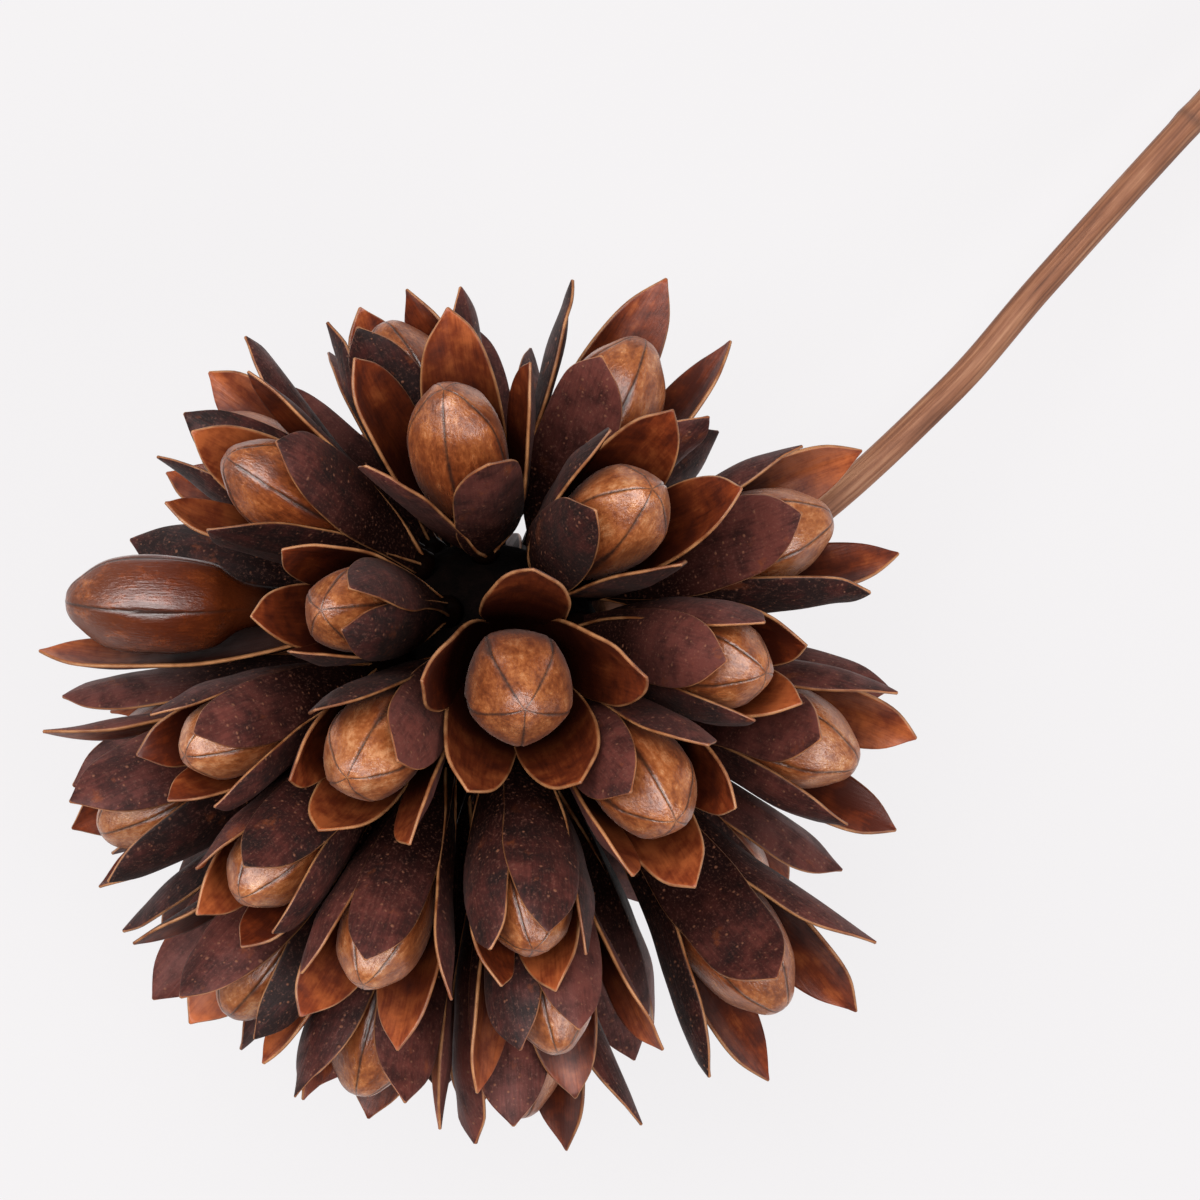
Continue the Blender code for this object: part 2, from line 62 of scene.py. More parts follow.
# The photograph looks straight down. Its pixels give places in the plane through the head's middle.
PIXEL = 0.125 * MM
VIEW_DISTANCE = 500.0 * MM
FRAME_PIXELS = 1200
MIDDLE_PIXEL = (470, 719)
HEART_PIXEL = (500, 612)
VIEW_TURN = math.radians(43)
SIGHT_STEPS = 400  # places tried along a line of sight
HIDDEN = None
LOST = "lost"
SEEN_PODS = (  # the star at each capsule's tip in view, then the tips of its bracts, in order round it
    ((525, 710), ((594, 813), (642, 676), (539, 571), (421, 691), (449, 807))),
    ((321, 610), ((353, 570), (284, 540), (241, 625), (295, 665), (355, 633))),
    ((347, 778), ((395, 749), (318, 709), (285, 773), (326, 840), (407, 841))),
    ((676, 821), ((625, 795), (636, 875), (704, 883), (737, 809), (712, 745))),
    ((652, 489), ((686, 560), (741, 494), (682, 419), (602, 434), (592, 508))),
    ((444, 389), ((494, 460), (528, 361), (441, 309), (345, 362), (360, 468))),
    ((226, 457), ((285, 431), HIDDEN, (183, 425), (157, 510), (210, 535))),
    ((65, 601), (LOST, LOST, LOST, (38, 655), LOST)),
    ((383, 322), (HIDDEN, (411, 307), (359, 287), (346, 335), HIDDEN)),
    ((200, 425), (HIDDEN, (209, 367), HIDDEN, (150, 444), HIDDEN)),
    ((645, 339), ((701, 421), (731, 338), (663, 278), (580, 283), (611, 360))),
    ((833, 517), ((866, 586), (908, 555), (863, 453), (804, 445), (799, 524))),
    ((766, 673), ((740, 730), (799, 708), (813, 646), (764, 620), (718, 660))),
    ((858, 765), ((848, 827), (897, 822), (920, 730), HIDDEN, (816, 730))),
    ((783, 1010), ((711, 1075), (769, 1086), (859, 1014), (866, 945), (770, 983))),
    ((533, 950), ((502, 948), (506, 988), (554, 990), (587, 953), (554, 930))),
    ((363, 985), ((364, 957), (298, 965), (302, 1025), (401, 1057), (457, 1004))),
    ((240, 898), ((248, 868), (195, 871), (204, 910), (245, 958), (286, 934))),
    ((185, 756), ((198, 741), (152, 708), (135, 750), (171, 800), HIDDEN)),
    ((100, 833), ((69, 802), HIDDEN, (71, 825), (104, 868), (112, 869))),
    ((558, 1053), ((518, 1045), HIDDEN, (579, 1103), HIDDEN, (578, 1025))),
    ((357, 1096), ((287, 1086), (301, 1099), (367, 1119), HIDDEN, (401, 1103))),
    ((228, 1016), ((187, 1004), HIDDEN, (192, 1029), (270, 1062), (255, 1038))),
    ((520, 1119), ((504, 1117), (484, 1149), HIDDEN, (563, 1152), HIDDEN)),
)
STEM_ROUTE = (
    (500, 612, 0), (640, 602, 9), (790, 532, 19), (945, 395, 26), (1045, 281, 30), (1200, 110, 36),
    (1560, -280, 47.05),
)
MODEL_STEM_STEPS = 3

FILL_CANDIDATES = 3000
FILL_SPACING = math.radians(26)
STEM_ROOM = math.radians(17)
LEAVING_STEPS = 12  # of the curve, to find where the stem leaves the head
HIDDEN_BELOW = -0.05
RELAX_STEPS = 40
RELAX_PUSH = 0.002
SEED = 11

CAPSULE_PROFILE = ((0.06, 0.47), (0.20, 0.86), (0.42, 1.0), (0.68, 0.84))
NECK_DEPTH = 0.89
SEAMS = 5
SIDES = 2 * SEAMS
FACE_FLATNESS = 0.93

BRACT_STATIONS = (
    (36.0, 0.0, 0.9, 0.0, 0.14, 0.0),
    (17.5, 0.0, 6.3, 0.6, 0.72, 0.9),
    (6.5, 0.8, 7.3, 4.5, 0.88, 1.4),
    (-2.5, 3.2, 6.0, 9.0, 0.0, 0.0),
)
ROOT_DEPTH = 1.2 * MM  # least depth of foot left below a bract's root
STRETCH_ROOT = 27.0  # a bract stretches from this depth, in millimetres
OPENING = (0.15, 1.0)
TURN = math.radians(3)
STRETCH = (0.95, 1.07)
BEND = 1.2
CLOSED = (0.0, 0.0, 1.0, 0.0)  # a bract's opening, turn, stretch and bend when it is shut

# Weights for reading a bract from its tip in the photograph
READ_ANGLES = np.radians(np.arange(0, 360, 3))
READ_OPENINGS = np.arange(0.0, 1.75, 0.05)
READ_STRETCHES = np.arange(0.88, 1.161, 0.04)
READ_TURNS = np.radians(np.arange(-54, 55, 3))
PIXELS_OFF = 7.0
ANGLE_OFF = math.radians(9)
OPENING_OFF = 0.8
STRETCH_OFF = 0.09
SIZE_STEPS = (1.06, 1.0, 0.95, 0.9, 0.85, 0.8, 0.75)
OPENING_STEP = 0.04  # a bract without room closes by this much
STRAIGHTEN = 0.93  # and keeps this share of its turn and bend
UPRIGHT = 0.95  # height of a pod's axis past which its first seam faces down the picture
HALF_WAY_GAP = 0.55 * CLEARANCE  # least gap from a pod to the half-way plane to another
FREE_GAP = 1.1 * CLEARANCE  # least gap from a pod to the edge of the room another leaves free
STEM_GAP = 2 * CLEARANCE  # least gap from a pod to the stem
STEM_END_GAP = 0.6 * MM  # from the receptacle to the middle of the stem's slanting end

# The fine surfaces
FINE_STEPS = 24  # points from knot to knot of a fine curve
CAPSULE_COLUMNS = (0.0, 0.018, 0.038, 0.07, 0.12, 0.2, 0.32, 0.5)  # of the turn from seam to seam
CAPSULE_ROWS = 46
BLUNT_TIP = (0.012, 0.23)  # depth and width, as in the capsule's profile
NECK_FADE = 0.3  # depth over which seams and flat faces fade toward the neck
SWELL, SWELL_WAVES = 0.02, (2, 7)  # height, and waves round and along the capsule
SEAM_HALF_WIDTH = 0.16 * MM
SEAM_DEPTH = 0.16 * MM
SEAM_STAIN = 1.1  # half width of the dark line, over the groove's
SEAM_SHADE = 0.8 * MM  # half width of the painted shade beside a seam
SEAM_FULL = 3.0 * MM  # a seam is narrower where the capsule is
SEAM_LEAST = 0.45  # but never by more than this
SEAM_FADE = 0.8 * MM  # radius below which the relief fades toward the tip
LIP_PLACE, LIP_WIDTH = 2.4, 1.2  # of a seam's raised lips, over its half width
LIP_HEIGHT = 0.2  # over the seam's depth
STAR_STAIN = 0.8  # of the dark lines, where they meet at the tip
EYE_DEPTH = 0.36  # how far down the capsule each seam opens into an eye
EYE_SHIFT = (-0.03, 0.05)
EYE_SIZE = (0.1, 1.3)
EYE_LENGTH = 0.10
EYE_WIDENING, EYE_DEEPENING = 2.4, 1.4
TISSUE_FROM, TISSUE_RISE = 0.35, 0.4  # eyes larger than this show pale tissue on their lips

BRACT_COLUMNS = (-1.0, -0.93, -0.8, -0.6, -0.4, -0.2, 0.0, 0.2, 0.4, 0.6, 0.8, 0.93, 1.0)
BRACT_ROWS = 30
ROW_CROWDING = 0.92  # below 1, the rows crowd toward the tip
CUP_OVERLAP = 1.04  # width at the base over what just closes the cup
CUP_BULGE = 0.5 * MM
MIDDLE_WIDTH = 0.95  # over the bract's usual width
NEAR_TIP = 0.55  # the way from the widest station but one to the tip
NEAR_TIP_WIDTH = 0.70  # over the width at that station
TIP_WIDTH = 0.12 * MM
TAPER_WIDTH = 2.4 * MM  # half width below which a bract's waves fade
LEAST_WIDTH = 0.4 * MM  # half width used for the direction of a bract's faces
EDGE_WAVE, EDGE_WAVES = 0.03, (6, 11)
HOOK, HOOK_FROM = (-0.1, 0.45), 0.7  # mean and spread in millimetres, and where it starts
RIPPLE, RIPPLE_WAVES, RIPPLE_SLANT = (0.1, 0.35), (7, 12), 1.2  # height in millimetres
KEEL, KEEL_WIDTH = (0.0, 0.35), 0.12  # height in millimetres
TWIST = 0.35  # spread in millimetres
HOLLOW = 0.4 * MM
FULL_THICKNESS, EDGE_THINNING, TIP_THINNING = 0.92, 0.2, 0.35
RIM_BULGE = 0.55  # of the rounded edge, over half the thickness
RIM_SHARE = 0.62  # of the rim's colour, where its curve meets the faces

STEM_SIDES = 28
STEM_FINE_RADIUS = 0.95  # over the model's, below the ridges
STEM_SCARS = (109, 171)  # along the stem, in millimetres
SCAR_WIDTH = 0.9 * MM
SCAR_SLANT = 0.5 * MM
SCAR_HEIGHT, SCAR_STAIN = 0.07, 0.6
STEM_RIDGES = ((0.030, 5, 20), (0.018, 9, -35))  # height, number round the stem, and twist
CORE_SINK, CORE_LUMP, CORE_LUMPS = 0.012, 0.002, 6
LUMP_SIZE = (0.6, 1.6)  # in millimetres

LOOK_SEED = 5
PHASE = (0, 6)  # limits of the draws that shift a wave
GRAIN_SHIFT = (0, 90)  # and the grain
CAPSULE_TONE = (0.2, 0.8)  # from dark to pale
CAPSULE_TONES = {  # of capsules that differ from the others
    1: 0.3, 3: 0.7, 4: 0.5, 6: 0.2, 7: 0.0, 8: -0.6, 9: 0.2, 10: 0.7, 12: 0.8, 19: 0.9, 20: 0.9,
}

# Colours, and where each stands on its material's scale from dark to pale
CAPSULE_WOOD = (
    (0.41, (0.115, 0.026, 0.0065)), (0.50, (0.215, 0.056, 0.015)),
    (0.59, (0.345, 0.110, 0.033)), (0.70, (0.520, 0.235, 0.105)),
)
CAPSULE_REDDENED = (1.0, 0.64, 0.46)
# painted shade for the wood down in the cup, deep between the pods
CAPSULE_DEEP_SHADE = (0.060, 0.012, 0.0035)
# painted shade, near black, for a capsule's foot deep between the pods
CAPSULE_FOOT_SHADE = (0.004, 0.0015, 0.001)
EYE_TISSUE = (0.360, 0.225, 0.165)
SEAM_DARK = (0.022, 0.011, 0.008)
CAPSULE_SHEEN = (0.95, 0.72, 0.66, 1)
BACK_SKIN = (
    (0.44, (0.012, 0.0038, 0.0034)), (0.57, (0.044, 0.0098, 0.0078)), (0.73, (0.118, 0.0300, 0.0225)),
)
BACK_WORN = (0.190, 0.045, 0.015)
# painted shade for a bract's back at its root, deep between the pods
BACK_DEEP_SHADE = (0.0070, 0.0024, 0.0020)
BACK_SPECK = (0.230, 0.090, 0.050)
BACK_DUST = (0.200, 0.085, 0.060)
BACK_SHEEN = (0.85, 0.55, 0.50, 1)
FACE_SKIN = (
    (0.43, (0.075, 0.0105, 0.0030)), (0.55, (0.195, 0.0330, 0.0085)), (0.70, (0.430, 0.1060, 0.0300)),
)
# painted shade for a bract's face down inside the cup
FACE_DEEP_SHADE = (0.016, 0.0030, 0.0014)
RIM_WOOD = ((0.36, (0.190, 0.064, 0.022)), (0.60, (0.380, 0.170, 0.070)))
BARK = ((0.36, (0.110, 0.035, 0.014)), (0.50, (0.225, 0.082, 0.036)), (0.66, (0.370, 0.175, 0.090)))
BARK_SCAR = (0.060, 0.028, 0.018)
# painted shade: the receptacle is coloured near black for the shade between the pods
CORE_PAINTED_SHADE = ((0.35, (0.0010, 0.0006, 0.0005)), (0.70, (0.0035, 0.0016, 0.0012)))

# The floor and the light
FLOOR_SIZE = 6.0
FLOOR_COLOUR = (0.05, 0.049, 0.049, 1)
FLOOR_GLOW, FLOOR_GLOW_COLOUR = 0.83, (1, 0.98, 0.99, 1)
WORLD_STRENGTH = 0.10
LIGHTS = (  # name, place along the picture's axes, size and power
    ("key", (-0.14, 0.20, 0.90), 0.80, 13.0),
    ("left", (-0.65, 0.05, 0.55), 0.40, 1.5),
    ("right", (0.55, -0.30, 0.65), 0.40, 4.0),
)
CLIP_START = 0.01


def unit(vector):
    return vector / np.linalg.norm(vector)


def to_world(right, up, toward):
    """A place given from the middle of the head along the picture's axes."""
    cos, sin = math.cos(VIEW_TURN), math.sin(VIEW_TURN)
    return np.array([right * cos + up * sin, up * cos - right * sin, toward + HEAD_HEIGHT])


def at_pixel(x, y, toward):
    """The place seen at a pixel, at a height above the middle of the head."""
    near, centre = (VIEW_DISTANCE - toward) / VIEW_DISTANCE, FRAME_PIXELS / 2
    right = centre + (x - centre) * near - MIDDLE_PIXEL[0]
    down = centre + (y - centre) * near - MIDDLE_PIXEL[1]
    return to_world(right * PIXEL, -down * PIXEL, toward)


MIDDLE = to_world(0, 0, 0)
HEART = at_pixel(*HEART_PIXEL, 0.0)
RECEPTACLE_CENTRE = HEART + 0.5 * (MIDDLE - HEART)


def tip_at_pixel(x, y):
    """Where the line of sight through a pixel meets the sphere of capsule tips, or passes beside it."""
    horizon = TIP_RADIUS**2 / VIEW_DISTANCE
    for toward in np.linspace(TIP_RADIUS, horizon, SIGHT_STEPS):
        place = at_pixel(x, y, toward)
        if np.linalg.norm(place - MIDDLE) <= TIP_RADIUS:
            return place
    return at_pixel(x, y, horizon)


def through(knots, steps):
    """Points along a smooth curve through knots, which may hold places or any other values."""
    knots = [np.asarray(knot, float) for knot in knots]
    padded = [2 * knots[0] - knots[1], *knots, 2 * knots[-1] - knots[-2]]
    points = []
    for before, start, end, after in zip(padded, padded[1:], padded[2:], padded[3:]):
        for step in range(steps):
            t = step / steps
            points.append(0.5 * (
                2 * start + (end - before) * t
                + (2 * before - 5 * start + 4 * end - after) * t**2
                + (3 * start - before - 3 * end + after) * t**3
            ))
    return np.array([*points, knots[-1]])


def stem_curve(steps):
    return through([at_pixel(x, y, -drop * MM) for x, y, drop in STEM_ROUTE], steps)


def hidden_tips():
    """Tips of the capsules that fill the hidden side, round the one that the head rests on."""
    seen = [unit(tip_at_pixel(*star) - MIDDLE) for star, _ in SEEN_PODS]
    fixed = [*seen, np.array([0.0, 0.0, -1.0])]
    line = stem_curve(LEAVING_STEPS)
    leaving = unit(line[np.argmin(abs(np.linalg.norm(line - MIDDLE, axis=1) - TIP_RADIUS))] - MIDDLE)
    index = np.arange(FILL_CANDIDATES) + 0.5
    height = 1 - 2 * index / FILL_CANDIDATES
    turn = math.pi * (1 + math.sqrt(5)) * index
    ring = np.sqrt(1 - height**2)
    candidates = np.stack([ring * np.cos(turn), ring * np.sin(turn), height], axis=1)
    candidates = candidates[np.arccos(np.clip(candidates @ leaving, -1, 1)) > STEM_ROOM]
    candidates = candidates[candidates[:, 2] < HIDDEN_BELOW]
    free = []
    while True:
        nearest = np.arccos(np.clip(candidates @ np.array(fixed + free).T, -1, 1)).min(axis=1)
        if nearest.max() < FILL_SPACING:
            break
        free.append(candidates[nearest.argmax()])
    for _ in range(RELAX_STEPS):
        for i, place in enumerate(free):
            others = np.array([*fixed, leaving, *free[:i], *free[i + 1:]])
            away = place - others
            gap = np.linalg.norm(away, axis=1, keepdims=True)
            push = (away / gap**4).sum(axis=0)
            push -= push @ place * place
            moved = unit(place + RELAX_PUSH * push)
            free[i] = moved if moved[2] < HIDDEN_BELOW else place
    return [MIDDLE + TIP_RADIUS * d for d in free]


def pixels_of(places):
    """Where places show in the photograph."""
    x, y, toward = np.moveaxis(places - MIDDLE, -1, 0)
    cos, sin = math.cos(VIEW_TURN), math.sin(VIEW_TURN)
    near, centre = (VIEW_DISTANCE - toward) / VIEW_DISTANCE, FRAME_PIXELS / 2
    right = MIDDLE_PIXEL[0] + (x * cos - y * sin) / PIXEL
    down = MIDDLE_PIXEL[1] - (x * sin + y * cos) / PIXEL
    return np.stack([centre + (right - centre) / near, centre + (down - centre) / near], axis=-1)


class Pod:
    """One pod's place: its axis runs from the heart to its tip, and a seam faces the head's top."""

    def __init__(self, tip, turn=0.0, extra=0.0):
        self.wanted = [HIDDEN] * SEAMS
        self.axis = unit(tip - HEART)
        self.length = np.linalg.norm(tip - HEART) + extra
        toward_top = MIDDLE + np.array([0, 0, TIP_RADIUS]) - tip
        if self.axis[2] > UPRIGHT:
            toward_top = to_world(0, -1, 0) - to_world(0, 0, 0)
        side = unit(toward_top - toward_top @ self.axis * self.axis)
        across = np.cross(self.axis, side)
        self.seam = math.cos(turn) * side + math.sin(turn) * across
        self.across = np.cross(self.axis, self.seam)
        self.size, self.room = 1.0, {}

    def out(self, angle):
        cos, sin = np.cos(angle), np.sin(angle)
        return np.multiply.outer(cos, self.seam) + np.multiply.outer(sin, self.across)

    def place(self, radius, angle, along):
        return HEART + self.axis * along + self.out(angle) * radius

    def foot_along(self, radius, angle):
        """How far along the axis a line beside it clears the receptacle."""
        start = self.place(radius, angle, 0.0) - RECEPTACLE_CENTRE
        b = start @ self.axis
        reach = RECEPTACLE_RADIUS + CLEARANCE
        return -b + math.sqrt(b * b - start @ start + reach * reach)

    def foot_radius(self):
        return min(FOOT_RADIUS * self.size, FOOT_TAPER * self.foot_along(0, 0))


def read_pod(star, tips):
    """A pod turned as its bract tips show, with the opening, turn and stretch that bring each there."""
    tip = tip_at_pixel(*star)
    pod = Pod(tip)
    depth, sink, near, spread = BRACT_STATIONS[-1][:4]
    angle, opening, stretch = np.meshgrid(READ_ANGLES, READ_OPENINGS, READ_STRETCHES, indexing="ij")
    along = pod.length - stretched(depth + sink * opening, stretch) * MM
    out = np.cos(angle)[..., None] * pod.seam + np.sin(angle)[..., None] * pod.across
    aside = ((near + spread * opening) * MM)[..., None] * out
    shown = pixels_of(HEART + along[..., None] * pod.axis + aside)
    known = [k for k, pixel in enumerate(tips) if pixel not in (HIDDEN, LOST)]
    misses = {}
    for k in known:
        miss = np.linalg.norm(shown - np.array(tips[k]), axis=-1) / PIXELS_OFF
        miss = miss**2 + ((opening - 1) / OPENING_OFF) ** 2 + ((stretch - 1) / STRETCH_OFF) ** 2
        misses[k] = miss.reshape(len(READ_ANGLES), -1)
    totals = []
    for turn in READ_TURNS:
        total = 0
        for k in known:
            aside = wrapped(READ_ANGLES - turn - (k + 0.5) * math.tau / SEAMS) / ANGLE_OFF
            total += (misses[k].min(axis=1) + aside**2).min()
        totals.append(total)
    turn = READ_TURNS[int(np.argmin(totals))]
    pod = Pod(tip, turn=turn)
    for k, pixel in enumerate(tips):
        if pixel == LOST:
            pod.wanted[k] = LOST
        elif k in known:
            aside = wrapped(READ_ANGLES - turn - (k + 0.5) * math.tau / SEAMS)
            total = misses[k] + (aside[:, None] / ANGLE_OFF) ** 2
            row, column = np.unravel_index(total.argmin(), total.shape)
            pod.wanted[k] = (opening[row].flat[column], aside[row], stretch[row].flat[column])
    return pod


def wrapped(angle):
    return (angle + math.pi) % math.tau - math.pi


def stretched(depth, stretch):
    """A depth below the capsule's tip, in millimetres, on a bract longer or shorter than usual."""
    return STRETCH_ROOT - (STRETCH_ROOT - depth) * stretch


def capsule_points(pod):
    """Tip, ten-sided rings, then the five-sided neck and foot, which stops clear of the receptacle."""
    rings = []
    for depth, width in CAPSULE_PROFILE:
        along = pod.length - depth * CAPSULE_LENGTH * pod.size
        ring = []
        for k in range(SIDES):
            flat = FACE_FLATNESS if k % 2 else 1.0
            radius = CAPSULE_RADIUS * pod.size * width * flat
            ring.append(pod.place(radius, k * math.tau / SIDES, along))
        rings.append(ring)
    angles = [k * math.tau / SEAMS for k in range(SEAMS)]
    neck_along = pod.length - NECK_DEPTH * CAPSULE_LENGTH * pod.size
    rings.append([pod.place(FOOT_RADIUS * pod.size, angle, neck_along) for angle in angles])
    radius = pod.foot_radius()
    rings.append([pod.place(radius, angle, pod.foot_along(radius, angle)) for angle in angles])
    return pod.place(0, 0, pod.length), rings, pod.place(0, 0, pod.foot_along(0, 0))


def bract_ribs(pod, opening, stretch):
    """Depth, distance from the axis, half width and inward turn of the edges at each station."""
    foot_depth = pod.length - pod.foot_along(0, 0)
    ribs = []
    for depth, sink, near, spread, width, turned in BRACT_STATIONS:
        depth = stretched(depth + sink * opening, stretch) * MM * pod.size
        depth = min(depth, foot_depth - ROOT_DEPTH)
        distance = (near + spread * opening) * MM * pod.size
        ribs.append((depth, distance, width * BRACT_WIDTH / 2 * pod.size, turned * MM * pod.size))
    return ribs


def bract_points(pod, index, opening, turn, stretch, bend):
    """Outer and inner points of one boat-shaped bract, each station across from edge to edge."""
    angle = (index + 0.5) * math.tau / SEAMS + turn
    out = math.cos(angle) * pod.seam + math.sin(angle) * pod.across
    side = np.cross(pod.axis, out)
    ribs = bract_ribs(pod, opening, stretch)
    stations = []
    for i, (depth, distance, width, turned) in enumerate(ribs):
        before = ribs[max(i - 1, 0)]
        after = ribs[min(i + 1, len(ribs) - 1)]
        rise = unit(np.array([after[1] - before[1], before[0] - after[0]]))
        thick = (out * rise[1] - pod.axis * rise[0]) * BRACT_THICKNESS / 2
        lean = bend * MM * (i / (len(ribs) - 1)) ** 2
        middle = HEART + pod.axis * (pod.length - depth) + out * distance + side * lean
        columns = (0,) if width == 0 else (-1, 0, 1)
        station = [middle + side * c * width - out * abs(c) * turned for c in columns]
        stations.append([(p + thick, p - thick) for p in station])
    return stations


def corners(stations):
    return np.array([p for station in stations for pair in station for p in pair])


def between(pod, other):
    """Directions across and along the half-way plane between two pods, from the heart."""
    return unit(pod.axis - other.axis), unit(pod.axis + other.axis)


def inside_cell(points, pod, pods, line):
    """Whether points stay on this pod's side of a plane to each other pod, and clear of the stem.

    The plane is the half-way one, turned by the angle that the other pod is known to leave free.
    """
    points = points - HEART
    for other in pods:
        if other is not pod:
            across, along = between(pod, other)
            free = other.room.get(pod, 0.0)
            gap = (points @ (across * math.cos(free) + along * math.sin(free))).min()
            if gap < (FREE_GAP if free else HALF_WAY_GAP):
                return False
    gaps = np.linalg.norm(points[:, None] + HEART - line[None], axis=2)
    return gaps.min() > STEM_RADIUS + STEM_GAP


def note_room(pod, pods):
    """Keeps the angle at the heart that a pod leaves free toward each other one."""
    _, rings, _ = capsule_points(pod)
    points = [np.array([p for ring in rings for p in ring])]
    points += [corners(bract_points(pod, i, *bract)) for i, bract in enumerate(pod.bracts) if bract]
    points = np.concatenate(points) - HEART
    for other in pods:
        if other is not pod:
            across, along = between(pod, other)
            pod.room[other] = np.arctan2(points @ across, points @ along).min()


def fit_size(pod, pods, line):
    """A pod grows as large as its neighbours leave room for."""
    for size in SIZE_STEPS:
        pod.size = size
        _, rings, _ = capsule_points(pod)
        shape = [np.array([p for ring in rings for p in ring])]
        shape += [corners(bract_points(pod, i, *CLOSED)) for i in range(SEAMS)]
        if inside_cell(np.concatenate(shape), pod, pods, line):
            return


def open_bract(pod, index, pods, line):
    """Opening, turn, stretch and bend of a bract in the room that it has. A lost one has none."""
    opening, turn, stretch, bend = pod.drawn[index]
    if pod.wanted[index] == LOST:
        return None
    if pod.wanted[index] is not HIDDEN:
        opening, turn, stretch = pod.wanted[index]
    while opening > 0.0:
        bract = (opening, turn, stretch, bend)
        if inside_cell(corners(bract_points(pod, index, *bract)), pod, pods, line):
            return bract
        opening -= OPENING_STEP
        bend *= STRAIGHTEN
        turn *= STRAIGHTEN
    return CLOSED


def draw_bracts(rng):
    """Opening, turn, stretch and bend of five bracts that aren't seen."""
    limits = (OPENING, (-TURN, TURN), STRETCH, (-BEND, BEND))
    return [[rng.uniform(*limit) for limit in limits] for _ in range(SEAMS)]


def layout(line):
    """Every pod with its bracts.

    Those in view then open further, and the first one grows, into what room is left.
    """
    rng = np.random.default_rng(SEED)
    pods = [read_pod(*seen) for seen in SEEN_PODS]
    pods.append(Pod(MIDDLE - np.array([0, 0, TIP_RADIUS]), extra=RESTING_DEPTH))
    pods += [Pod(tip, turn=rng.uniform(0, math.tau / SEAMS)) for tip in hidden_tips()]
    for pod in pods:
        fit_size(pod, pods, line)
        pod.drawn = draw_bracts(rng)
    for pod in pods:
        pod.bracts = [open_bract(pod, i, pods, line) for i in range(SEAMS)]
    for pod in pods:
        note_room(pod, pods)
    for pod in pods[:len(SEEN_PODS)]:
        if pod is pods[0]:
            fit_size(pod, pods, line)
        pod.bracts = [open_bract(pod, i, pods, line) for i in range(SEAMS)]
        note_room(pod, pods)
    return pods


class Shape:
    """Collects points, faces and what the materials read at each point."""

    def __init__(self):
        self.points, self.grain, self.faces, self.slots = [], [], [], []
        self.layers = {"edge": [], "along": [], "near": [], "tone": []}
        self.count = 0

    def add(self, points, grain, edge, along, tone, near=0.0):
        """Adds points and returns their numbers, in the same rows and columns."""
        rows = np.shape(points)[:-1]
        self.points.append(np.reshape(points, (-1, 3)))
        self.grain.append(np.reshape(np.asarray(grain, float), (-1, 3)))
        for key, value in (("edge", edge), ("along", along), ("near", near), ("tone", tone)):
            self.layers[key].append(np.broadcast_to(value, rows).ravel())
        numbers = np.arange(self.count, self.count + math.prod(rows)).reshape(rows)
        self.count += numbers.size
        return numbers

    def quads(self, a, b, c, d, slot):
        made = np.stack([np.ravel(a), np.ravel(b), np.ravel(c), np.ravel(d)], axis=1)
        self.faces += made.tolist()
        self.slots += [slot] * len(made)

    def grid(self, numbers, slot, closed=False, flip=False):
        if closed:
            numbers = np.concatenate([numbers, numbers[:, :1]], axis=1)
        a, b, c, d = numbers[:-1, :-1], numbers[:-1, 1:], numbers[1:, 1:], numbers[1:, :-1]
        if flip:
            a, b, c, d = a, d, c, b
        self.quads(a, b, c, d, slot)

    def fan(self, ring, centre, slot, flip=False):
        ring = list(ring)
        for k, number in enumerate(ring):
            following = ring[(k + 1) % len(ring)]
            face = [number, following, centre]
            self.faces.append([int(i) for i in (face[::-1] if flip else face)])
            self.slots.append(slot)

    def build(self, name, materials):
        mesh = bpy.data.meshes.new(name)
        mesh.from_pydata(np.concatenate(self.points).tolist(), [], self.faces)
        for paint in materials:
            mesh.materials.append(paint)
        mesh.polygons.foreach_set("material_index", self.slots)
        mesh.shade_smooth()
        grain = mesh.attributes.new("grain", "FLOAT_VECTOR", "POINT")
        grain.data.foreach_set("vector", np.concatenate(self.grain).ravel())
        for key, values in self.layers.items():
            made = mesh.attributes.new(key, "FLOAT", "POINT")
            made.data.foreach_set("value", np.concatenate(values))
        obj = bpy.data.objects.new(name, mesh)
        bpy.context.scene.collection.objects.link(obj)
        return obj


CAPSULE, OUTER, INNER = range(3)


def capsule_profile(pod):
    """Depth and radius of rows from the tip to the foot, and the foot's depth.

    Depths are over the capsule's length.
    """
    foot = (pod.length - pod.foot_along(0, 0)) / (CAPSULE_LENGTH * pod.size)
    neck = FOOT_RADIUS / CAPSULE_RADIUS
    end = pod.foot_radius() / (CAPSULE_RADIUS * pod.size)
    knots = [(0.0, 0.0), BLUNT_TIP, *CAPSULE_PROFILE, (NECK_DEPTH, neck), (foot, end)]
    fine = through(knots, FINE_STEPS)
    travel = np.r_[0, np.cumsum(np.linalg.norm(np.diff(fine, axis=0), axis=1))]
    even = np.linspace(0, 1, CAPSULE_ROWS + 1)[1:] * travel[-1]
    depth = np.interp(even, travel, fine[:, 0])[:, None]
    radius = np.interp(even, travel, fine[:, 1])[:, None] * CAPSULE_RADIUS * pod.size
    return depth, radius, foot


